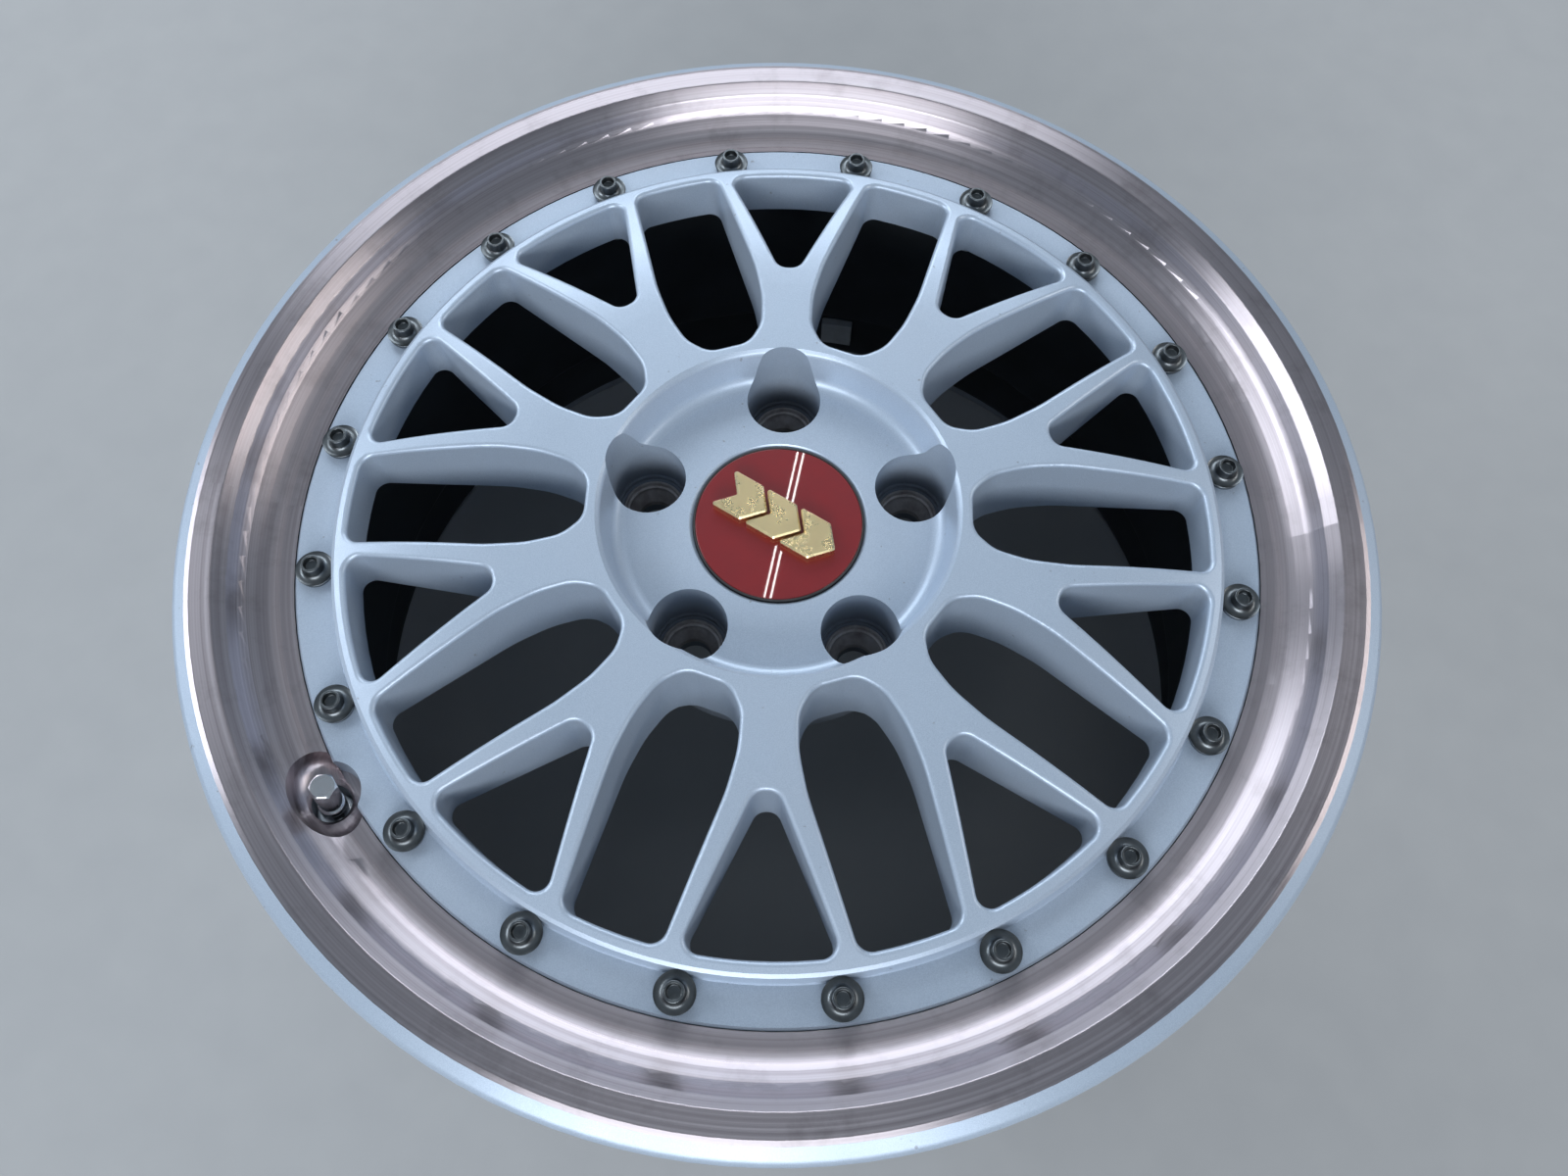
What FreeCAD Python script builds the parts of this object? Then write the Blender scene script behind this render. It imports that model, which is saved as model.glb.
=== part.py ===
import FreeCAD, Part
import math
import os

# Forged two-piece racing wheel rim, lying on its inboard flange.
# Millimetres.  +Z is the wheel axis and points out of the outboard face.
# The origin is on the axis, half way between the two rim flanges.
# One twin spoke points along +Y.

# ---------------------------------------------------------------- dimensions
RIM_R = 235.2            # flange outer radius
HALF_W = 108.25          # half of the overall width
HALF_SEAT = 95.25        # half of the rim width between the flanges
SEAT_R = 218.3           # bead seat radius at the heel
WELL_R = 201.0           # drop centre, tyre side
BARREL_R = 195.5         # drop centre, air side
STEP_R = 206.5           # air side under the inboard bead seat
FLANGE_IN_R = 176.6      # inner edge of the internal mounting flange

RING_Z = 91.0            # front face of the bolted ring
RING_T = 10.0            # thickness of the bolted ring
RING_R = 193.5           # outer edge of the bolted ring
MOUNT_T = 9.0            # thickness of the internal mounting flange
STEP_TOP_R = 175.6       # raised face, top of its outer step
STEP_FOOT_R = 178.2      # raised face, foot of its outer step

BOLT_N = 20
BOLT_PCR = 184.7
BOLT_PHASE = 9.0
BOLT_HOLE_R = 3.65
BOLT_SHANK_R = 3.5
BOLT_DISH_R = 7.1

SPOKE_N = 10
FACE_Z = 108.0           # face at the hub
FACE_FLAT_R = 105.0      # the face starts to fall away here
FACE_END_Z = 98.3        # face at its outer step
BACK_HUB_Z = 71.5        # spoke back at the hub
BACK_RING_Z = 77.6       # spoke back at the ring
PAD_Z = 48.0             # hub mounting pad
PAD_R = 74.0
WINDOW_R = 171.0         # outer arc of every window
WINDOW_DRAFT = 1.0       # degrees
EDGE_R = 1.7             # soft edge round every window

RECESS_R = 70.4          # hub recess at the face
RECESS_FLOOR_R = 66.5
RECESS_COVE = 6.0
LUG_N = 5
LUG_PCR = 57.15
LUG_PHASE = 18.0
LUG_POCKET_R = 15.5
LUG_LEDGE_Z = 64.0
LUG_STEP_R = 14.4        # small step at the foot of the pocket
LUG_STEP_Z = 66.2
LUG_SEAT_R = 13.2
LUG_SEAT_Z = 53.0
LUG_HOLE_R = 7.5

CAP_BORE_R = 35.0
CAP_LEDGE_Z = 84.0
BORE_R = 34.0
CENTRING_R = 41.0
CENTRING_TOP_Z = 60.0
HUB_R = 33.55

BADGE_N = 3
BADGE_H = 4.4
BADGE_STEP = 16.0
BADGE_START = -27.4

VALVE_AZ = 216.0
VALVE_TILT = 10.0
VALVE_R = 200.0          # where the valve axis meets the level below
VALVE_Z = 92.0
VALVE_POCKET_R = 12.4
VALVE_POCKET_LONG = 1.5  # pocket length over its width, round the rim
VALVE_NECK_R = 7.3
VALVE_POCKET_T = -11.0   # along the valve axis, from the level above
VALVE_SEAT_T = -24.0
VALVE_WEB = 5.0

WEIGHT_AZ = 82.5
WEIGHT_Z = -64.0

Z = FreeCAD.Vector(0, 0, 1)
O = FreeCAD.Vector(0, 0, 0)


def vec(x, y, z=0.0):
    return FreeCAD.Vector(x, y, z)


def polar(radius, degrees, z=0.0):
    a = math.radians(degrees)
    return vec(radius * math.cos(a), radius * math.sin(a), z)


def turned(shape, degrees):
    copy = shape.copy()
    copy.rotate(O, Z, degrees)
    return copy


def fused(shapes):
    first = shapes[0]
    if len(shapes) == 1:
        return first
    return first.multiFuse(shapes[1:])


def ring_of(shape, count, step, start=0.0):
    return [turned(shape, start + i * step) for i in range(count)]


def cylinder(radius, z0, z1, x=0.0, y=0.0):
    return Part.makeCylinder(radius, z1 - z0, vec(x, y, z0))


def tube(r_out, r_in, z0, z1):
    return cylinder(r_out, z0, z1).cut(cylinder(r_in, z0 - 1, z1 + 1))


def corner_path(points):
    """Closed edges through (x, y, corner radius) points, each corner rounded."""
    n = len(points)
    starts = []
    ends = []
    mids = []
    for i in range(n):
        p = vec(points[i][0], points[i][1])
        r = points[i][2]
        a = vec(points[i - 1][0], points[i - 1][1]).sub(p).normalize()
        b = vec(points[(i + 1) % n][0], points[(i + 1) % n][1]).sub(p).normalize()
        half = a.getAngle(b) / 2.0
        if r <= 0.0:
            starts.append(p)
            ends.append(p)
            mids.append(None)
            continue
        run = r / math.tan(half)
        bis = a.add(b).normalize()
        centre = p.add(bis * (r / math.sin(half)))
        starts.append(p.add(a * run))
        ends.append(p.add(b * run))
        mids.append(centre.sub(bis * r))
    edges = []
    for i in range(n):
        if mids[i] is not None:
            edges.append(Part.Arc(starts[i], mids[i], ends[i]).toShape())
        nxt = starts[(i + 1) % n]
        if ends[i].distanceToPoint(nxt) > 1e-6:
            edges.append(Part.LineSegment(ends[i], nxt).toShape())
    return edges


def upright(edges):
    """Turn an (r, z) outline drawn in XY into the XZ plane."""
    wire = Part.Wire(edges)
    wire.rotate(O, vec(1, 0, 0), 90)
    return wire


def revolved(points):
    """Solid of revolution from (radius, z, corner radius) points."""
    return Part.Face(upright(corner_path(points))).revolve(O, Z, 360)


# ---------------------------------------------------------------- valve frame
def on_valve(shape):
    """Place a shape drawn about +Z at the origin on the tilted valve axis."""
    copy = shape.copy()
    copy.rotate(O, vec(0, 1, 0), -VALVE_TILT)
    copy.translate(vec(VALVE_R, 0, VALVE_Z))
    copy.rotate(O, Z, VALVE_AZ)
    return copy


def hexagon(across_flats, z0, z1):
    r = across_flats / math.sqrt(3.0)
    pts = [polar(r, 30 + 60 * i, z0) for i in range(7)]
    return Part.Face(Part.makePolygon(pts)).extrude(vec(0, 0, z1 - z0))


def hex_nut(across_flats, hole_r, z0, z1):
    body = hexagon(across_flats, z0, z1)
    r = across_flats / math.sqrt(3.0)
    dome = Part.makeCone(r + 1.2, r - 0.45, z1 - z0, vec(0, 0, z0))
    return body.common(dome).cut(cylinder(hole_r, z0 - 1, z1 + 1))


# ---------------------------------------------------------------- rim barrel
def rim_profile():
    seat_end = SEAT_R - 1.25
    return [
        (218.7, HALF_W, 0.8),
        (214.6, 104.0, 2.0),
        (211.4, 98.0, 9.0),
        (203.0, 91.3, 14.0),
        (RING_R + 0.3, 90.2, 0.0),
        (RING_R + 0.3, RING_Z - RING_T, 0.0),
        (FLANGE_IN_R, RING_Z - RING_T, 0.8),
        (FLANGE_IN_R, RING_Z - RING_T - MOUNT_T, 1.0),
        (192.5, RING_Z - RING_T - MOUNT_T, 1.6),
        (BARREL_R, 66.0, 5.0),
        (BARREL_R, -38.0, 6.0),
        (STEP_R - 0.8, -49.0, 2.0),
        (STEP_R - 0.8, -53.0, 0.6),
        (STEP_R, -53.6, 0.4),
        (STEP_R, -86.0, 6.0),
        (213.5, -97.0, 6.0),
        (217.0, -HALF_W, 1.5),
        (229.5, -HALF_W, 3.0),
        (RIM_R, -104.2, 4.2),
        (RIM_R, -98.9, 2.8),
        (226.8, -HALF_SEAT, 5.0),
        (221.6, -HALF_SEAT, 0.0),
        (SEAT_R, -91.2, 2.2),
        (seat_end, -75.6, 1.5),
        (SEAT_R - 0.3, -73.0, 2.0),
        (216.0, -68.0, 3.0),
        (211.8, -62.0, 3.0),
        (211.8, -51.0, 6.0),
        (WELL_R, -36.0, 8.0),
        (WELL_R, 50.0, 8.0),
        (213.0, 64.5, 5.0),
        (217.6, 70.5, 2.0),
        (SEAT_R - 0.3, 73.0, 2.0),
        (seat_end, 75.6, 1.5),
        (SEAT_R, 91.2, 2.2),
        (221.6, HALF_SEAT, 0.0),
        (226.8, HALF_SEAT, 5.0),
        (RIM_R, 98.9, 2.8),
        (RIM_R, 104.2, 4.2),
        (228.9, 107.5, 0.6),
        (226.9, HALF_W, 0.4),
    ]


def stretched(shape):
    """Lengthen a shape about the valve axis along the rim."""
    matrix = FreeCAD.Matrix()
    matrix.scale(1.0, VALVE_POCKET_LONG, 1.0)
    return shape.transformGeometry(matrix)


def valve_pocket():
    """Oval pocket with a round floor, milled into the lip round the valve."""
    return stretched(revolved([
        (0.0, VALVE_POCKET_T, 0.0),
        (VALVE_POCKET_R - 1.6, VALVE_POCKET_T, 7.0),
        (VALVE_POCKET_R, 4.0, 0.0),
        (VALVE_POCKET_R, 30.0, 0.0),
        (0.0, 30.0, 0.0),
    ]))


def valve_bore():
    """Neck below the pocket, hole through the web, spot face on the tyre side."""
    web = VALVE_SEAT_T - VALVE_WEB
    return revolved([
        (0.0, -60.0, 0.0),
        (7.0, -60.0, 0.0),
        (7.0, web, 0.0),
        (4.15, web, 0.0),
        (4.15, VALVE_SEAT_T, 0.0),
        (VALVE_NECK_R, VALVE_SEAT_T, 0.0),
        (VALVE_NECK_R, VALVE_POCKET_T - 1.0, 0.0),
        (VALVE_NECK_R + 2.0, VALVE_POCKET_T + 1.0, 0.0),
        (0.0, VALVE_POCKET_T + 1.0, 0.0),
    ])


def rim_barrel():
    body = revolved(rim_profile())
    hole = cylinder(BOLT_HOLE_R, 60, 92, BOLT_PCR, 0)
    cuts = ring_of(hole, BOLT_N, 360.0 / BOLT_N, BOLT_PHASE)
    cuts.append(on_valve(valve_pocket()))
    cuts.append(on_valve(valve_bore()))
    for cut in cuts:
        body = body.cut(cut)
    return body


# ---------------------------------------------------------------- centre disc
def face_outline():
    """Half section of the disc blank: flat hub, crowned spokes, stepped ring."""
    def at(r, z):
        return vec(r, 0, z)

    drop = FACE_Z - FACE_END_Z
    span = STEP_TOP_R - FACE_FLAT_R
    mid_r = FACE_FLAT_R + span / 2.0
    mid_z = FACE_Z - drop / 4.0
    edges = []
    points = [
        at(0, PAD_Z),
        at(PAD_R - 1, PAD_Z),
        at(PAD_R, PAD_Z + 1),
        at(PAD_R + 1.5, BACK_HUB_Z - 6),
        at(PAD_R + 8, BACK_HUB_Z),
        at(FLANGE_IN_R - 0.2, BACK_RING_Z),
        at(FLANGE_IN_R - 0.2, RING_Z - RING_T),
        at(RING_R, RING_Z - RING_T),
        at(RING_R, RING_Z - 1.2),
        at(RING_R - 1.0, RING_Z),
        at(STEP_FOOT_R + 0.6, RING_Z),
        at(STEP_FOOT_R, RING_Z + 0.9),
        at(STEP_TOP_R + 1.4, FACE_END_Z - 1.0),
        at(STEP_TOP_R, FACE_END_Z),
    ]
    for i in range(len(points) - 1):
        edges.append(Part.LineSegment(points[i], points[i + 1]).toShape())
    edges.append(Part.Arc(points[-1], at(mid_r, mid_z), at(FACE_FLAT_R, FACE_Z)).toShape())
    edges.append(Part.LineSegment(at(FACE_FLAT_R, FACE_Z), at(0, FACE_Z)).toShape())
    edges.append(Part.LineSegment(at(0, FACE_Z), at(0, PAD_Z)).toShape())
    return Part.Wire(edges)


def arc_to_r(x0, y0, x1, y1, radius):
    """Point where the line x0,y0 - x1,y1 meets the circle of that radius."""
    dx = x1 - x0
    dy = y1 - y0
    a = dx * dx + dy * dy
    b = 2 * (x0 * dx + y0 * dy)
    c = x0 * x0 + y0 * y0 - radius * radius
    t = (-b + math.sqrt(b * b - 4 * a * c)) / (2 * a)
    return x0 + t * dx, y0 + t * dy


def closed_window(side, end_point, corner_r, outer_r):
    """Window symmetric about +Y.

    side is the right-hand half from the inner end upwards as (x, y, corner
    radius); the outer end is an arc about the wheel axis.
    """
    tx, ty = arc_to_r(side[-1][0], side[-1][1], end_point[0], end_point[1], outer_r)
    # the corner between the side line and the arc, rounded by corner_r
    ux = tx - side[-1][0]
    uy = ty - side[-1][1]
    length = math.hypot(ux, uy)
    ux /= length
    uy /= length
    nx, ny = -uy, ux
    px = side[-1][0] + nx * corner_r
    py = side[-1][1] + ny * corner_r
    cx, cy = arc_to_r(px, py, px + ux, py + uy, outer_r - corner_r)
    foot = vec(cx - nx * corner_r, cy - ny * corner_r)
    scale = outer_r / math.hypot(cx, cy)
    head = vec(cx * scale, cy * scale)
    mx = foot.x + head.x - 2 * cx
    my = foot.y + head.y - 2 * cy
    norm = math.hypot(mx, my)
    mid = vec(cx + mx / norm * corner_r, cy + my / norm * corner_r)
    right = [(x, y, r) for x, y, r in side]
    path = [(-x, y, r) for x, y, r in reversed(right) if x > 1e-9] + right
    lower = path_edges(path, vec(-foot.x, foot.y), foot)
    edges = lower
    edges.append(Part.Arc(foot, mid, head).toShape())
    edges.append(Part.Arc(head, vec(0, outer_r), vec(-head.x, head.y)).toShape())
    edges.append(Part.Arc(vec(-head.x, head.y), vec(-mid.x, mid.y), vec(-foot.x, foot.y)).toShape())
    return Part.Wire(Part.__sortEdges__(edges))


def path_edges(points, start, end):
    """Open path start - rounded points - end."""
    edges = []
    last = start
    pts = [(start.x, start.y, 0.0)] + list(points) + [(end.x, end.y, 0.0)]
    for i in range(1, len(pts) - 1):
        p = vec(pts[i][0], pts[i][1])
        r = pts[i][2]
        a = vec(pts[i - 1][0], pts[i - 1][1]).sub(p).normalize()
        b = vec(pts[i + 1][0], pts[i + 1][1]).sub(p).normalize()
        half = a.getAngle(b) / 2.0
        run = r / math.tan(half)
        bis = a.add(b).normalize()
        centre = p.add(bis * (r / math.sin(half)))
        s = p.add(a * run)
        e = p.add(b * run)
        if last.distanceToPoint(s) > 1e-6:
            edges.append(Part.LineSegment(last, s).toShape())
        edges.append(Part.Arc(s, centre.sub(bis * r), e).toShape())
        last = e
    if last.distanceToPoint(end) > 1e-6:
        edges.append(Part.LineSegment(last, end).toShape())
    return edges


def inset_side(side, d):
    """Move the half outline towards the window's centre line by about d."""
    moved = []
    for x, y, r in side:
        if x < 1e-9:
            moved.append((0.0, y + d, r))
        else:
            moved.append((x - d, y + d * 0.6, max(r - d, 0.5)))
    return moved


def window_solid(side, end_point, corner_r):
    top = 118.0
    low = 40.0
    d = (top - low) * math.tan(math.radians(WINDOW_DRAFT)) / 2.0
    wires = []
    for z, inset in ((low, d), (top, -d)):
        moved = inset_side(side, inset)
        end = (end_point[0] - inset, end_point[1])
        wire = closed_window(moved, end, max(corner_r - inset, 0.5), WINDOW_R - inset)
        wire.translate(vec(0, 0, z))
        wires.append(wire)
    return Part.makeLoft(wires, True, True)


def fork_window():
    """Triangular window between the two arms of one spoke."""
    side = [(3.9, 114.4, 5.6)]
    return window_solid(side, (24.6, 160.5), 5.2)


def gap_window():
    """Long window between neighbouring spokes."""
    side = [(8.0, 76.6, 9.5), (15.6, 84.4, 16.0), (19.6, 98.0, 50.0), (21.0, 114.0, 80.0)]
    return window_solid(side, (19.0, 164.0), 5.8)


def lug_pocket():
    x = LUG_PCR
    return fused([
        cylinder(LUG_POCKET_R, LUG_STEP_Z, FACE_Z + 5, x, 0),
        cylinder(LUG_STEP_R, LUG_LEDGE_Z, LUG_STEP_Z + 1, x, 0),
        cylinder(LUG_SEAT_R, LUG_SEAT_Z, LUG_LEDGE_Z + 1, x, 0),
        cylinder(LUG_HOLE_R, PAD_Z - 1, LUG_SEAT_Z + 1, x, 0),
    ])


def hub_recess():
    return revolved([
        (0.0, RING_Z, 0.0),
        (RECESS_FLOOR_R, RING_Z, RECESS_COVE),
        (RECESS_R, FACE_Z - 1.6, 3.0),
        (RECESS_R + 1.8, FACE_Z, 0.0),
        (RECESS_R + 1.8, FACE_Z + 4, 0.0),
        (0.0, FACE_Z + 4, 0.0),
    ])


def cap_bore():
    return revolved([
        (0.0, PAD_Z - 1, 0.0),
        (CENTRING_R, PAD_Z - 1, 0.0),
        (CENTRING_R, CENTRING_TOP_Z, 0.0),
        (BORE_R, CENTRING_TOP_Z, 0.0),
        (BORE_R, CAP_LEDGE_Z, 0.0),
        (CAP_BORE_R, CAP_LEDGE_Z, 0.0),
        (CAP_BORE_R, RING_Z - 1.3, 0.0),
        (CAP_BORE_R + 1.3, RING_Z, 0.0),
        (CAP_BORE_R + 1.3, RING_Z + 1, 0.0),
        (0.0, RING_Z + 1, 0.0),
    ])


def soft_edges(body):
    """Round the front edge of every window."""
    picked = []
    for edge in body.Edges:
        box = edge.BoundBox
        if box.ZMin < FACE_END_Z - 0.5 or box.ZMax > FACE_Z + 0.1:
            continue
        mid = edge.valueAt((edge.FirstParameter + edge.LastParameter) / 2.0)
        r = math.hypot(mid.x, mid.y)
        if r < 74.5 or r > WINDOW_R + 1.5:
            continue
        picked.append(edge)
    return body.makeFillet(EDGE_R, picked)


def centre_disc():
    body = Part.Face(face_outline()).revolve(O, Z, 360)
    step = 360.0 / SPOKE_N
    windows = ring_of(fork_window(), SPOKE_N, step)
    windows += ring_of(gap_window(), SPOKE_N, step, step / 2.0)
    body = body.cut(Part.makeCompound(windows))
    body = soft_edges(body)
    body = body.cut(hub_recess())
    body = body.cut(cap_bore())
    body = body.cut(Part.makeCompound(ring_of(lug_pocket(), LUG_N, 360.0 / LUG_N, LUG_PHASE)))
    scallop = cylinder(BOLT_DISH_R + 0.6, RING_Z, FACE_Z, BOLT_PCR, 0)
    hole = cylinder(BOLT_HOLE_R, 60, 92, BOLT_PCR, 0)
    turn = 360.0 / BOLT_N
    body = body.cut(Part.makeCompound(ring_of(hole, BOLT_N, turn, BOLT_PHASE)))
    body = body.cut(Part.makeCompound(ring_of(scallop, BOLT_N, turn, BOLT_PHASE)))
    notch = on_valve(cylinder(VALVE_POCKET_R, -30, 30))
    return body.cut(notch)


# ---------------------------------------------------------------- fasteners
def assembly_bolt():
    """Dished flange, round head with a bored top, shank through both parts."""
    head = revolved([
        (0.0, RING_Z, 0.0),
        (BOLT_DISH_R - 0.4, RING_Z, 0.0),
        (BOLT_DISH_R, RING_Z + 0.4, 0.0),
        (BOLT_DISH_R, RING_Z + 1.7, 0.4),
        (BOLT_DISH_R - 0.9, RING_Z + 1.9, 0.5),
        (5.0, RING_Z + 1.0, 2.4),
        (4.0, RING_Z + 3.6, 1.5),
        (3.8, RING_Z + 7.8, 0.4),
        (2.8, RING_Z + 7.8, 0.3),
        (2.5, RING_Z + 5.2, 0.3),
        (0.0, RING_Z + 4.9, 0.0),
    ])
    shank = cylinder(BOLT_SHANK_R, RING_Z - RING_T - MOUNT_T - 9.5, RING_Z)
    shank = shank.makeChamfer(0.6, [shank.Edges[2]])
    return fused([head, shank])


def rear_nut():
    z1 = RING_Z - RING_T - MOUNT_T
    base = cylinder(6.0, z1 - 1.4, z1)
    body = hexagon(10.0, z1 - 7.0, z1 - 1.0)
    cone = Part.makeCone(5.0, 6.6, 6.0, vec(0, 0, z1 - 7.0))
    body = body.common(cone)
    return base.fuse(body).cut(cylinder(BOLT_SHANK_R + 0.02, z1 - 9, z1 + 1))


def on_bolt_circle(shape):
    placed = shape.copy()
    placed.translate(vec(BOLT_PCR, 0, 0))
    return Part.makeCompound(ring_of(placed, BOLT_N, 360.0 / BOLT_N, BOLT_PHASE))


def lug_seat():
    top = LUG_LEDGE_Z + 0.6
    body = revolved([
        (LUG_HOLE_R, LUG_SEAT_Z, 0.0),
        (LUG_SEAT_R, LUG_SEAT_Z, 0.0),
        (LUG_SEAT_R, top - 0.5, 0.0),
        (LUG_SEAT_R - 0.5, top, 0.0),
        (12.2, top, 0.0),
        (11.8, top - 1.9, 0.0),
        (10.8, top - 1.9, 0.0),
        (10.5, top - 3.4, 0.0),
        (LUG_HOLE_R, top - 8.6, 0.0),
    ])
    body.translate(vec(LUG_PCR, 0, 0))
    return Part.makeCompound(ring_of(body, LUG_N, 360.0 / LUG_N, LUG_PHASE))


# ---------------------------------------------------------------- centre cap
def cap_carrier():
    cup = revolved([
        (30.5, CAP_LEDGE_Z + 0.02, 0.0),
        (34.7, CAP_LEDGE_Z + 0.02, 0.3),
        (34.7, RING_Z + 0.1, 0.3),
        (33.95, RING_Z + 0.1, 0.2),
        (33.95, RING_Z - 2.0, 0.0),
        (30.5, RING_Z - 2.0, 0.0),
    ])
    web = cylinder(31.0, RING_Z - 4.5, RING_Z - 2.0)
    leg = revolved([
        (31.2, 71.0, 0.3),
        (33.0, 71.0, 0.5),
        (33.94, 72.8, 0.6),
        (33.94, 74.4, 0.6),
        (33.2, 75.8, 0.0),
        (33.2, CAP_LEDGE_Z + 1, 0.0),
        (31.2, CAP_LEDGE_Z + 1, 0.0),
        (31.2, 74.4, 0.0),
        (31.9, 73.9, 0.0),
        (31.9, 72.9, 0.0),
        (31.2, 72.4, 0.0),
    ])
    legs = [leg.common(turned(leg_sector(), 60 * i)) for i in range(6)]
    return fused([cup, web] + legs)


def leg_sector():
    pts = [O, polar(60, -11), polar(60, 11), O]
    return Part.Face(Part.makePolygon(pts)).extrude(vec(0, 0, 120))


def cap_spring():
    """Round wire hoop behind the clip legs, open at one point."""
    hoop = Part.makeTorus(31.25, 0.5, vec(0, 0, 73.4))
    gap = Part.makeBox(8, 5, 6, vec(28, 14, 70))
    return hoop.cut(gap)


def cap_plate():
    plate = cylinder(33.9, RING_Z - 2.0, RING_Z)
    return plate.makeFillet(0.4, [plate.Edges[0]])


def chevron(x, width, height, thick):
    half = height / 2.0
    lean = height * 0.42
    pts = [
        (x, -half),
        (x + thick, -half),
        (x + thick + lean, 0),
        (x + thick, half),
        (x, half),
        (x + lean, 0),
    ]
    wire = Part.Wire(corner_path([(px, py, 1.0) for px, py in pts]))
    face = Part.Face(wire)
    return face.extrude(vec(0, 0, width))


def cap_badge():
    """Three raised chevrons in a row, tilted across the cap."""
    parts = []
    for i in range(BADGE_N):
        body = chevron(BADGE_START + i * BADGE_STEP, BADGE_H, 18.0, BADGE_STEP - 1.6)
        body.translate(vec(0, 0, RING_Z))
        level = RING_Z + BADGE_H
        top = [e for e in body.Edges if abs(e.BoundBox.ZMin - level) < 1e-6]
        parts.append(body.makeChamfer(0.7, top))
    body = Part.makeCompound(parts)
    body.rotate(O, Z, -30)
    return body


# ---------------------------------------------------------------- hub centring
def centring_ring():
    body = revolved([
        (HUB_R, PAD_Z + 1.0, 0.0),
        (HUB_R + 1.0, PAD_Z, 0.0),
        (CENTRING_R - 0.02, PAD_Z, 0.0),
        (CENTRING_R - 0.02, CENTRING_TOP_Z, 0.0),
        (HUB_R, CENTRING_TOP_Z, 0.0),
    ])
    groove = tube(CENTRING_R + 1, CENTRING_R - 1.5, PAD_Z + 4.4, PAD_Z + 5.6)
    return body.cut(groove)


def centring_clip():
    """Spring wire in the groove round the centring ring."""
    hoop = Part.makeTorus(CENTRING_R - 0.75, 0.55, vec(0, 0, PAD_Z + 5.0))
    gap = Part.makeBox(8, 12, 6, vec(CENTRING_R - 5, -6, PAD_Z + 2))
    return hoop.cut(gap)


# ---------------------------------------------------------------- valve
def valve_stem():
    head_z = VALVE_SEAT_T - VALVE_WEB
    body = revolved([
        (1.6, head_z - 5.0, 0.0),
        (5.2, head_z - 5.0, 0.6),
        (6.2, head_z - 3.6, 0.4),
        (6.2, head_z - 1.5, 0.0),
        (4.0, head_z - 1.5, 0.0),
        (4.0, -15.5, 0.4),
        (3.5, -14.6, 0.0),
        (3.5, -8.5, 0.0),
        (3.85, -8.0, 0.0),
        (3.85, 2.6, 0.4),
        (2.75, 2.6, 0.0),
        (2.75, -12.6, 0.0),
        (1.6, -14.2, 0.0),
    ])
    return on_valve(body)


def valve_seal():
    z = VALVE_SEAT_T - VALVE_WEB
    body = revolved([
        (4.05, z - 1.5, 0.0),
        (6.5, z - 1.5, 0.4),
        (6.5, z, 0.3),
        (4.05, z, 0.0),
    ])
    return on_valve(body)


def valve_washer():
    return on_valve(tube(7.0, 4.1, VALVE_SEAT_T, VALVE_SEAT_T + 1.2))


def valve_nut():
    """Round sleeve nut on a low hexagon, slotted for a pin spanner."""
    low = VALVE_SEAT_T + 1.2
    foot = hex_nut(12.0, 4.02, low, low + 2.6)
    sleeve = revolved([
        (4.02, low + 2.0, 0.0),
        (5.1, low + 2.0, 0.0),
        (5.1, -10.2, 0.6),
        (4.02, -9.6, 0.0),
    ])
    slot = Part.makeBox(12, 1.6, 2.4, vec(-6, -0.8, low + 3.6))
    slots = slot.fuse(turned(slot, 90))
    groove = tube(6.0, 4.75, -13.4, -12.6)
    return on_valve(foot.fuse(sleeve).cut(slots.cut(cylinder(4.5, low, 0))).cut(groove))


def core_body():
    """Threaded core tube, screwed into the top of the stem."""
    return on_valve(fused([
        tube(2.72, 1.25, -3.2, 0.6),
        tube(2.2, 1.25, -8.0, -3.2),
        tube(2.2, 0.6, -8.6, -8.0),
    ]))


def core_pin():
    return on_valve(fused([
        cylinder(0.45, -11.4, 1.7),
        cylinder(0.8, 1.1, 2.0),
        cylinder(1.12, -1.2, -0.7),
    ]))


def core_seal():
    """Rubber plunger at the foot of the pin."""
    body = revolved([
        (0.46, -10.9, 0.0),
        (1.35, -10.9, 0.2),
        (1.95, -9.3, 0.2),
        (1.95, -8.65, 0.0),
        (0.46, -8.65, 0.0),
    ])
    return on_valve(body)


def core_spring():
    helix = Part.makeHelix(1.1, 6.3, 0.85)
    helix.translate(vec(0, 0, -7.75))
    start = helix.Vertexes[0].Point
    circle = Part.Circle(start, vec(0, 1, 0.17), 0.14).toShape()
    wire = Part.Wire(helix.Edges)
    pipe = wire.makePipeShell([Part.Wire([circle])], True, True)
    return on_valve(pipe)


def valve_cap():
    """Hexagon-topped screw cap with a bored skirt."""
    skirt = cylinder(4.5, -7.4, 3.0)
    skirt = skirt.makeFillet(0.4, [skirt.Edges[2]])
    top = hexagon(9.0, 2.6, 7.8)
    dome = Part.makeCone(8.6, 4.3, 4.4, vec(0, 0, 3.4)).fuse(cylinder(8.6, 2.5, 3.4))
    top = top.common(dome)
    top = top.cut(tube(3.4, 3.0, 7.5, 9.0))
    bore = revolved([
        (0.0, -8.0, 0.0),
        (4.4, -8.0, 0.0),
        (3.92, -7.2, 0.0),
        (3.92, 3.4, 0.0),
        (3.3, 4.6, 0.0),
        (0.0, 4.6, 0.0),
    ])
    return on_valve(skirt.fuse(top).cut(bore))


def cap_gasket():
    """Rubber washer pressed into the top of the valve cap."""
    return on_valve(tube(3.6, 1.5, 2.75, 3.4))


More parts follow.
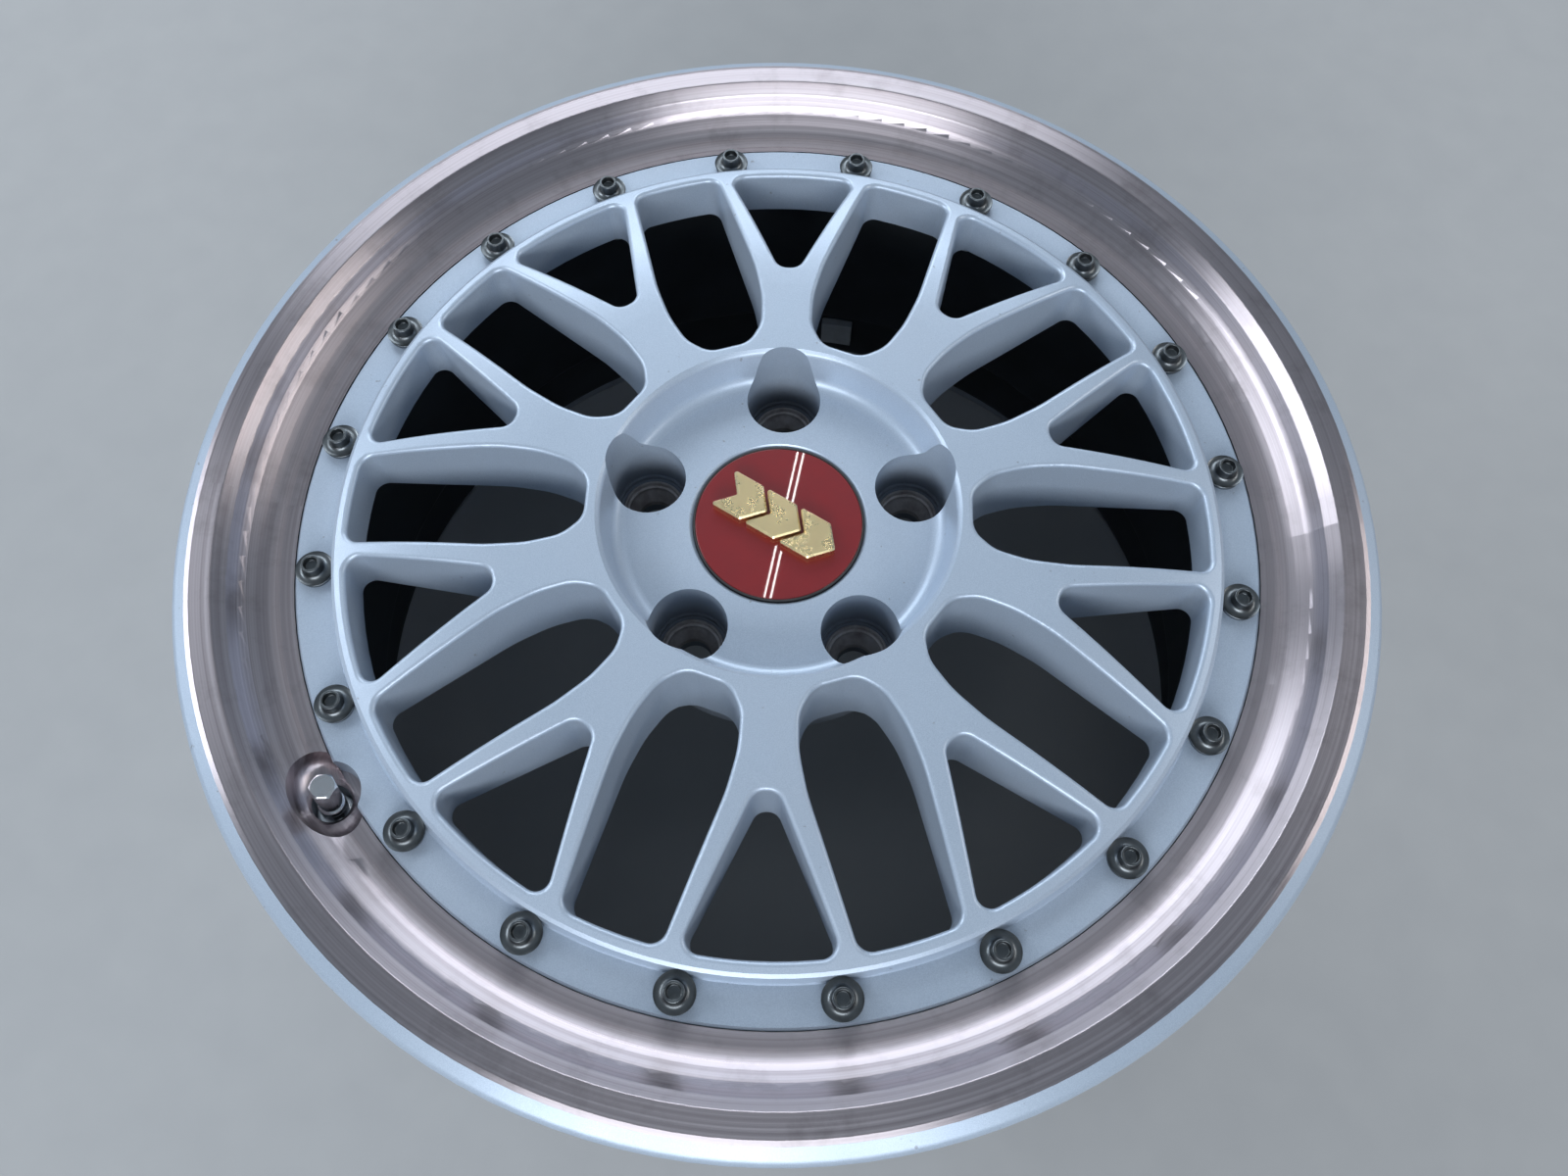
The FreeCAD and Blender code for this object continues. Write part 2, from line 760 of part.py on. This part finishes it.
# ---------------------------------------------------------------- balance weight
def sector_block(r_in, r_out, z0, z1, arc_mm):
    half = math.degrees(arc_mm / 2.0 / r_out)
    pts = [O, polar(400, -half), polar(400, half), O]
    wedge = Part.Face(Part.makePolygon(pts)).extrude(vec(0, 0, 400))
    wedge.translate(vec(0, 0, -200))
    return turned(tube(r_out, r_in, z0, z1).common(wedge), WEIGHT_AZ)


def balance_weight():
    body = sector_block(STEP_R - 4.6, STEP_R - 0.8, WEIGHT_Z - 9.0, WEIGHT_Z + 9.0, 17.6)
    inner = [f for f in body.Faces if abs(f.Area - 16.9 * 18.0) < 14.0]
    edges = []
    for face in inner:
        mid = face.CenterOfMass
        if math.hypot(mid.x, mid.y) < STEP_R - 3.0:
            edges += face.Edges
    return body.makeFillet(1.0, edges) if edges else body


def weight_tape():
    return sector_block(STEP_R - 0.8, STEP_R, WEIGHT_Z - 8.6, WEIGHT_Z + 8.6, 17.0)


# ---------------------------------------------------------------- write
PIECES = [
    ("rim_barrel", rim_barrel),
    ("centre_disc", centre_disc),
    ("assembly_bolts", lambda: on_bolt_circle(assembly_bolt())),
    ("assembly_nuts", lambda: on_bolt_circle(rear_nut())),
    ("lug_seats", lug_seat),
    ("cap_carrier", cap_carrier),
    ("cap_spring", cap_spring),
    ("cap_plate", cap_plate),
    ("cap_badge", cap_badge),
    ("centring_ring", centring_ring),
    ("centring_clip", centring_clip),
    ("valve_stem", valve_stem),
    ("valve_seal", valve_seal),
    ("valve_washer", valve_washer),
    ("valve_nut", valve_nut),
    ("valve_core_body", core_body),
    ("valve_core_pin", core_pin),
    ("valve_core_seal", core_seal),
    ("valve_core_spring", core_spring),
    ("valve_cap", valve_cap),
    ("valve_cap_gasket", cap_gasket),
    ("balance_weight", balance_weight),
    ("balance_tape", weight_tape),
]

os.makedirs("parts", exist_ok=True)
for name, make in PIECES:
    shape = make()
    shape.exportStep("parts/" + name + ".step")
    print(name, len(shape.Solids), shape.isValid(), round(shape.Volume / 1000.0, 2), "cm3")
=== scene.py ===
import math

import bpy
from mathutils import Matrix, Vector


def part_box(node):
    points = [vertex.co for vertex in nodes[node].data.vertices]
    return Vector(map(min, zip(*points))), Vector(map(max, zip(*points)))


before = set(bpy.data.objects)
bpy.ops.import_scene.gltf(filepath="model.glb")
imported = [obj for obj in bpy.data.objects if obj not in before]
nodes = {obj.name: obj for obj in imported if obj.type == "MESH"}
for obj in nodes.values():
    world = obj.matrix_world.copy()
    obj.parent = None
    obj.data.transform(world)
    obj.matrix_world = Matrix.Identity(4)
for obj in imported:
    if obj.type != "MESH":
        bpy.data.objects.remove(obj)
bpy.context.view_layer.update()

# ------------------------------------------------------------ places, in metres
RIM_LOW, RIM_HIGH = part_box("rim_barrel")
RIM_R = RIM_HIGH.x
FLOOR_Z = RIM_LOW.z

# borders between the finishes of the barrel
LIP_OUTER = RIM_R - 0.0067              # outside this circle the flange is painted
RING_EDGE = RIM_R - 0.0417              # inside this circle the bolted centre covers it
INNER_WALL = RIM_R - 0.0277             # inside this circle is the inner wall
PAINTED_EDGE_BOTTOM = RIM_HIGH.z - 0.01025
LIP_BOTTOM = RIM_HIGH.z - 0.01975
VALVE_POCKET_BOTTOM = RIM_HIGH.z - 0.02925
VALVE_POCKET_REACH = 0.022              # from the middle of the valve nut

# the nut pockets stand on the pressed-in seats
SEATS_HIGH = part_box("lug_seats")[1]
NUT_POCKET_FOOT = SEATS_HIGH.z + 0.0014
NUT_POCKET_EDGE = SEATS_HIGH.y + 0.00265
# height and fade of the dark foot of the nut pockets: dirt and painted shade
DIRT_AND_SHADE_HEIGHT = 0.020
DIRT_AND_SHADE_FADE = 0.004

CAMERA_PLACE = (0.00735, -0.212, 0.5245)
CAMERA_TURN = (22.901, -0.327, 2.076)   # degrees about X, Y and Z
CAMERA_LENS = 27.3                      # mm on a 36 mm sensor

FLOOR_REACH = 6.0
# name, place, (width, depth), power in watts, colour; each faces the middle of the wheel
SOFT_LIGHTS = (
    ("back", (-0.5, 2.6, 1.7), (3.2, 1.0), 52, (0.84, 0.92, 1.0)),
    ("front", (-0.2, -2.6, 1.5), (2.6, 0.8), 66, (0.90, 0.95, 1.0)),
    ("left", (-2.5, 0.5, 1.5), (1.6, 0.7), 30, (0.86, 0.93, 1.0)),
    ("right", (2.5, 0.3, 1.4), (1.8, 0.35), 14, (1.0, 0.97, 0.93)),
)
# two thin tubes overhead, mirrored in the red cap plate
TUBES_MIDDLE = (-0.0256, 1.118, 2.4)
TUBES_HALF_GAP = 0.008
TUBE_SIZE = (0.005, 0.6)
TUBE_POWER = 0.25
TUBE_TURN = math.radians(-9.6)


# ------------------------------------------------------------ shader helpers
def new_material(name):
    mat = bpy.data.materials.new(name)
    mat.use_nodes = True
    tree = mat.node_tree
    return mat, tree, tree.nodes["Principled BSDF"]


def node(tree, kind, **values):
    n = tree.nodes.new(kind)
    for key, value in values.items():
        setattr(n, key, value)
    return n


def put(n, **inputs):
    """Set input sockets by name, an underscore standing for a space."""
    for key, value in inputs.items():
        n.inputs[key.replace("_", " ")].default_value = value
    return n


def feed(tree, socket, value):
    """Link value into socket if it is an output, else set it there."""
    if hasattr(value, "is_output"):
        tree.links.new(value, socket)
    else:
        socket.default_value = value


def position(tree):
    """Position of the shaded point in its piece's own axes, in metres."""
    return node(tree, "ShaderNodeTexCoord").outputs["Object"]


def math_node(tree, operation, *values):
    n = node(tree, "ShaderNodeMath", operation=operation)
    for socket, value in zip(n.inputs, values):
        feed(tree, socket, value)
    return n.outputs[0]


def product(tree, *values):
    result = values[0]
    for value in values[1:]:
        result = math_node(tree, "MULTIPLY", result, value)
    return result


def noise(tree, vector, scale, detail=3.0, rough=0.55):
    n = put(node(tree, "ShaderNodeTexNoise"), Scale=scale, Detail=detail, Roughness=rough)
    tree.links.new(vector, n.inputs["Vector"])
    return n.outputs["Fac"]


def spread(tree, value, low, high, out_low=0.0, out_high=1.0):
    """Map low..high to out_low..out_high, held at both ends."""
    n = put(
        node(tree, "ShaderNodeMapRange"),
        From_Min=low, From_Max=high, To_Min=out_low, To_Max=out_high,
    )
    tree.links.new(value, n.inputs["Value"])
    return n.outputs["Result"]


def colour_socket(sockets, name):
    return [s for s in sockets if s.name == name and s.type == "RGBA"][0]


def blend(tree, factor, first, second):
    """Colour first where factor is 0 and second where it is 1."""
    n = node(tree, "ShaderNodeMix", data_type="RGBA")
    for name, value in (("A", first), ("B", second)):
        colour = (*value, 1.0) if isinstance(value, tuple) else value
        feed(tree, colour_socket(n.inputs, name), colour)
    tree.links.new(factor, n.inputs[0])
    return colour_socket(n.outputs, "Result")


def bump(tree, bsdf, height, distance, strength, below=None):
    """Raise the surface by height; below is a bump already made, under this one."""
    n = put(node(tree, "ShaderNodeBump"), Strength=strength, Distance=distance)
    tree.links.new(height, n.inputs["Height"])
    if below is not None:
        tree.links.new(below, n.inputs["Normal"])
    tree.links.new(n.outputs["Normal"], bsdf.inputs["Normal"])
    return n.outputs["Normal"]


def axis_coordinates(tree):
    """Radius, angle in radians and height about the wheel axis."""
    split = node(tree, "ShaderNodeSeparateXYZ")
    tree.links.new(position(tree), split.inputs[0])
    x, y, z = split.outputs
    squares = math_node(tree, "ADD", product(tree, x, x), product(tree, y, y))
    return math_node(tree, "SQRT", squares), math_node(tree, "ARCTAN2", y, x), z


def rings(tree, across, angle, scale, drift):
    """Noise drawn out round the axis: marks left by a lathe."""
    vector = node(tree, "ShaderNodeCombineXYZ")
    feed(tree, vector.inputs[0], product(tree, across, scale))
    feed(tree, vector.inputs[1], product(tree, angle, drift))
    return noise(tree, vector.outputs[0], 1.0, 3.0, 0.6)


# ------------------------------------------------------------ materials
def nut_pocket_dirt_and_shade(tree, cloud):
    """Share of darkening at the foot of the nut pockets: grease and brake dust that collect there, and
    painted shade.
    """
    r, _, z = axis_coordinates(tree)
    inside = spread(tree, r, NUT_POCKET_EDGE, NUT_POCKET_EDGE + DIRT_AND_SHADE_FADE, 1.0, 0.0)
    low = spread(tree, z, NUT_POCKET_FOOT, NUT_POCKET_FOOT + DIRT_AND_SHADE_HEIGHT, 0.85, 0.0)
    return product(tree, inside, low, spread(tree, cloud, 0.2, 0.6, 0.6, 1.0))


def silver_paint():
    """Satin silver: fine flake, slight orange peel, road dust in patches, dirt and painted shade at the
    foot of the nut pockets.
    """
    mat, tree, bsdf = new_material("silver_paint")
    pos = position(tree)
    flake = noise(tree, pos, 2600.0, 2.0, 0.7)
    cloud = noise(tree, pos, 14.0, 4.0, 0.6)
    specks = noise(tree, pos, 260.0, 2.0, 0.5)
    peel = noise(tree, pos, 420.0, 2.0, 0.5)
    paint = blend(tree, spread(tree, flake, 0.3, 0.7), (0.41, 0.49, 0.60), (0.53, 0.61, 0.72))
    dusty = blend(tree, spread(tree, cloud, 0.45, 0.75, 0.0, 0.30), paint, (0.42, 0.46, 0.53))
    flecked = blend(tree, spread(tree, specks, 0.74, 0.78, 0.0, 0.6), dusty, (0.22, 0.22, 0.24))
    # near-black foot of the nut pockets: dirt and painted shade
    dirty_and_shaded = blend(tree, nut_pocket_dirt_and_shade(tree, cloud), flecked, (0.075, 0.065, 0.060))
    tree.links.new(dirty_and_shaded, bsdf.inputs["Base Color"])
    tree.links.new(spread(tree, cloud, 0.3, 0.75, 0.38, 0.48), bsdf.inputs["Roughness"])
    put(bsdf, Metallic=0.4, Coat_Weight=0.12, Coat_Roughness=0.25)
    bump(tree, bsdf, peel, 0.00006, 0.5)
    return mat


def polished_lip():
    """Lathe-turned and polished aluminium: fine grooves run round the axis. The dark mauve base tone is
    painted reflection of the surroundings.
    """
    mat, tree, bsdf = new_material("polished_aluminium")
    r, angle, z = axis_coordinates(tree)
    across = math_node(tree, "ADD", r, product(tree, z, 0.8))
    lines = rings(tree, across, angle, 1100.0, 0.25)
    broad = rings(tree, across, angle, 240.0, 0.3)
    stain = noise(tree, position(tree), 60.0, 5.0, 0.65)
    # dark mauve base tone: painted reflection of the surroundings, not the metal's own colour
    metal = blend(tree, spread(tree, lines, 0.35, 0.65), (0.42, 0.365, 0.385), (0.53, 0.48, 0.505))
    stained_reflection_tone = blend(tree, spread(tree, stain, 0.52, 0.72, 0.0, 0.40), metal, (0.25, 0.215, 0.22))
    tree.links.new(stained_reflection_tone, bsdf.inputs["Base Color"])
    tree.links.new(spread(tree, lines, 0.25, 0.75, 0.27, 0.36), bsdf.inputs["Roughness"])
    put(bsdf, Metallic=1.0, Anisotropic=0.75, Anisotropic_Rotation=0.25)
    round_axis = node(tree, "ShaderNodeTangent", direction_type="RADIAL", axis="Z")
    tree.links.new(round_axis.outputs[0], bsdf.inputs["Tangent"])
    fine = bump(tree, bsdf, lines, 0.00002, 0.5)
    bump(tree, bsdf, broad, 0.00004, 0.5, fine)
    return mat


def barrel_inside_dust_and_shade():
    """Inner barrel wall, near black: baked brake dust and painted shade."""
    mat, tree, bsdf = new_material("barrel_inside_dust_and_shade")
    cloud = noise(tree, position(tree), 22.0, 5.0, 0.6)
    _, angle, z = axis_coordinates(tree)
    # near-black wall colour: brake dust and painted shade
    base = blend(tree, spread(tree, cloud, 0.35, 0.7), (0.020, 0.023, 0.026), (0.045, 0.050, 0.056))
    tree.links.new(base, bsdf.inputs["Base Color"])
    tree.links.new(spread(tree, cloud, 0.3, 0.7, 0.42, 0.62), bsdf.inputs["Roughness"])
    put(bsdf, Metallic=0.3)
    bump(tree, bsdf, rings(tree, z, angle, 700.0, 0.4), 0.00008, 0.6)
    return mat


def tyre_side():
    """Tyre side: silver paint over turned metal, scuffed."""
    mat, tree, bsdf = new_material("tyre_side")
    r, angle, z = axis_coordinates(tree)
    cloud = noise(tree, position(tree), 18.0, 5.0, 0.65)
    across = math_node(tree, "ADD", z, r)
    base = blend(tree, spread(tree, cloud, 0.35, 0.7), (0.40, 0.44, 0.50), (0.56, 0.60, 0.66))
    tree.links.new(base, bsdf.inputs["Base Color"])
    tree.links.new(spread(tree, cloud, 0.3, 0.7, 0.34, 0.5), bsdf.inputs["Roughness"])
    put(bsdf, Metallic=0.7)
    bump(tree, bsdf, rings(tree, across, angle, 900.0, 0.4), 0.00006, 0.5)
    return mat


def plain_metal(name, colour, dark, rough, metallic=1.0, mark=0.3, scratch=0.00003):
    """Plated or bare metal with faint stains and scratches this many metres deep."""
    mat, tree, bsdf = new_material(name)
    pos = position(tree)
    cloud = noise(tree, pos, 160.0, 5.0, 0.65)
    grain = noise(tree, pos, 900.0, 3.0, 0.6)
    base = blend(tree, spread(tree, cloud, 0.4, 0.75, 0.0, mark * 2), colour, dark)
    tree.links.new(base, bsdf.inputs["Base Color"])
    tree.links.new(spread(tree, cloud, 0.3, 0.75, rough, rough + 0.16), bsdf.inputs["Roughness"])
    put(bsdf, Metallic=metallic)
    bump(tree, bsdf, grain, scratch, 0.5)
    return mat


def plastic(name, colour, other, rough, coat=0.0):
    """Moulded or lacquered surface, cloudy between two colours."""
    mat, tree, bsdf = new_material(name)
    pos = position(tree)
    cloud = noise(tree, pos, 90.0, 4.0, 0.6)
    grain = noise(tree, pos, 1500.0, 2.0, 0.6)
    base = blend(tree, spread(tree, cloud, 0.35, 0.7), colour, other)
    tree.links.new(base, bsdf.inputs["Base Color"])
    tree.links.new(spread(tree, cloud, 0.3, 0.7, rough, rough + 0.08), bsdf.inputs["Roughness"])
    put(bsdf, Coat_Weight=coat, Coat_Roughness=0.012)
    bump(tree, bsdf, grain, 0.00002, 0.4)
    return mat


SILVER = silver_paint()
LIP = polished_lip()
INSIDE_DUST_AND_SHADE = barrel_inside_dust_and_shade()
TYRE_SIDE = tyre_side()
BLACK_CHROME = plain_metal("black_chrome", (0.17, 0.185, 0.195), (0.07, 0.07, 0.07), 0.30)
ZINC = plain_metal("zinc_steel", (0.55, 0.56, 0.58), (0.38, 0.37, 0.35), 0.32)
SEAT = plain_metal("seat_steel", (0.50, 0.46, 0.44), (0.22, 0.17, 0.15), 0.42, metallic=0.5, mark=0.4)
CHROME = plain_metal("chrome", (0.82, 0.82, 0.84), (0.60, 0.60, 0.60), 0.10, mark=0.15, scratch=0.000006)
GOLD = plain_metal("gold", (0.93, 0.75, 0.42), (0.80, 0.60, 0.28), 0.22, mark=0.08, scratch=0.000004)
BRASS = plain_metal("brass", (0.72, 0.55, 0.25), (0.45, 0.33, 0.15), 0.28)
WEIGHT = plain_metal("weight", (0.62, 0.63, 0.64), (0.48, 0.47, 0.46), 0.45, metallic=0.3)
RED = plastic("red_gloss", (0.21, 0.004, 0.007), (0.19, 0.003, 0.006), 0.30, coat=1.0)
BLACK = plastic("black_plastic", (0.02, 0.02, 0.021), (0.035, 0.035, 0.035), 0.42)
RING = plastic("ring_plastic", (0.05, 0.05, 0.055), (0.075, 0.075, 0.08), 0.5)
RUBBER = plastic("rubber", (0.015, 0.015, 0.015), (0.03, 0.03, 0.03), 0.65)
TAPE = plastic("tape", (0.60, 0.60, 0.57), (0.70, 0.70, 0.68), 0.7)

ONE_FINISH = {
    "centre_disc": SILVER, "assembly_bolts": BLACK_CHROME, "assembly_nuts": ZINC,
    "lug_seats": SEAT, "cap_carrier": BLACK, "cap_spring": ZINC, "cap_plate": RED,
    "cap_badge": GOLD, "centring_ring": RING, "centring_clip": ZINC,
    "valve_stem": CHROME, "valve_seal": RUBBER, "valve_washer": CHROME,
    "valve_nut": CHROME, "valve_core_body": BRASS, "valve_core_pin": BRASS,
    "valve_core_seal": RUBBER, "valve_core_spring": ZINC, "valve_cap": CHROME,
    "valve_cap_gasket": RUBBER, "balance_weight": WEIGHT, "balance_tape": TAPE,
}
RIM_FINISHES = (TYRE_SIDE, LIP, SILVER, INSIDE_DUST_AND_SHADE)


def give_materials(piece, materials):
    piece.data.materials.clear()
    for mat in materials:
        piece.data.materials.append(mat)


def rim_finish(spot, normal, valve):
    """The finish of the barrel where spot lies and its surface faces normal."""
    r = math.hypot(spot.x, spot.y)
    outward = (spot.x * normal.x + spot.y * normal.y) / r
    from_valve = math.hypot(spot.x - valve.x, spot.y - valve.y)
    if spot.z > VALVE_POCKET_BOTTOM and from_valve < VALVE_POCKET_REACH and r < LIP_OUTER:
        return LIP
    if r > LIP_OUTER and spot.z > PAINTED_EDGE_BOTTOM:
        return SILVER
    if spot.z > LIP_BOTTOM and r > RING_EDGE and (normal.z > 0.1 or outward < -0.3):
        return LIP
    # near-black inside: brake dust and painted shade
    if r < INNER_WALL and outward < 0.5:
        return INSIDE_DUST_AND_SHADE
    return TYRE_SIDE


def paint_rim():
    """Polished lip, painted flange edge, black inside (brake dust and painted shade), silver tyre side.
    """
    rim = nodes["rim_barrel"]
    give_materials(rim, RIM_FINISHES)
    nut_low, nut_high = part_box("valve_nut")
    valve = (nut_low + nut_high) / 2.0
    turn = rim.matrix_world.to_3x3()
    for face in rim.data.polygons:
        finish = rim_finish(rim.matrix_world @ face.center, turn @ face.normal, valve)
        face.material_index = RIM_FINISHES.index(finish)


for name, mat in ONE_FINISH.items():
    give_materials(nodes[name], [mat])
paint_rim()


# ------------------------------------------------------------ camera, light, floor
def add_object(name, data):
    thing = bpy.data.objects.new(name, data)
    bpy.context.scene.collection.objects.link(thing)
    return thing


def add_camera():
    data = bpy.data.cameras.new("camera")
    data.sensor_width = 36.0
    data.lens = CAMERA_LENS
    cam = add_object("camera", data)
    cam.location = CAMERA_PLACE
    cam.rotation_euler = [math.radians(a) for a in CAMERA_TURN]
    bpy.context.scene.camera = cam


def add_area_light(name, where, size, power, colour, turn):
    data = bpy.data.lights.new(name, "AREA")
    data.shape = "RECTANGLE"
    data.size, data.size_y = size
    data.energy = power
    data.color = colour
    lamp = add_object(name, data)
    lamp.location = where
    lamp.rotation_euler = turn


def add_lights():
    for name, where, size, power, colour in SOFT_LIGHTS:
        turn = (-Vector(where)).to_track_quat("-Z", "Y").to_euler()
        add_area_light(name, where, size, power, colour, turn)
    x, y, z = TUBES_MIDDLE
    for side in (-1, 1):
        where = (x + side * TUBES_HALF_GAP, y, z)
        add_area_light("tube", where, TUBE_SIZE, TUBE_POWER, (1, 1, 1), (0.0, 0.0, TUBE_TURN))


def add_floor():
    """Plain pale ground under the wheel."""
    s = FLOOR_REACH
    corners = [(x, y, FLOOR_Z) for x, y in ((-s, -s), (s, -s), (s, s), (-s, s))]
    mesh = bpy.data.meshes.new("floor")
    mesh.from_pydata(corners, [], [(0, 1, 2, 3)])
    mat, tree, bsdf = new_material("floor")
    grain = noise(tree, position(tree), 40.0, 3.0, 0.5)
    tree.links.new(blend(tree, grain, (0.38, 0.38, 0.385), (0.42, 0.42, 0.42)), bsdf.inputs["Base Color"])
    put(bsdf, Roughness=0.9)
    mesh.materials.append(mat)
    return add_object("floor", mesh)


def add_world():
    w = bpy.data.worlds.new("studio")
    w.use_nodes = True
    put(w.node_tree.nodes["Background"], Color=(0.72, 0.86, 1.0, 1.0), Strength=0.29)
    bpy.context.scene.world = w
    bpy.context.scene.view_settings.view_transform = "Standard"


add_camera()
add_world()
add_floor()
add_lights()
